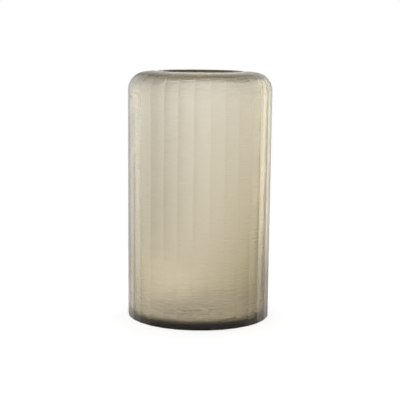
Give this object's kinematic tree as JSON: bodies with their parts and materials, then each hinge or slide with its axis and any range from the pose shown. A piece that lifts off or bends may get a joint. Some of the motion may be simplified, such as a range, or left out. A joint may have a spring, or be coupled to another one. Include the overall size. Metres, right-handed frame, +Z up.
{
  "type": "glass cylinder vase",
  "caption": "Tall cylindrical cut-glass vase with narrow vertical facets, a rounded shoulder and a round mouth narrower than the body, in smoky champagne glass.",
  "frame": {"origin": "centre of the foot, on the plane the vase stands on", "axes": "+Z up along the vase's axis, towards the mouth; a flat facet faces -Y"},
  "size_m": [0.1632, 0.1622, 0.28],
  "materials": {
    "smoky_glass": "satin, finely ground facets on the outside, polished inside"
  },
  "bodies": {
    "root": {"glass_body": "smoky_glass"}
  },
  "joints": []
}
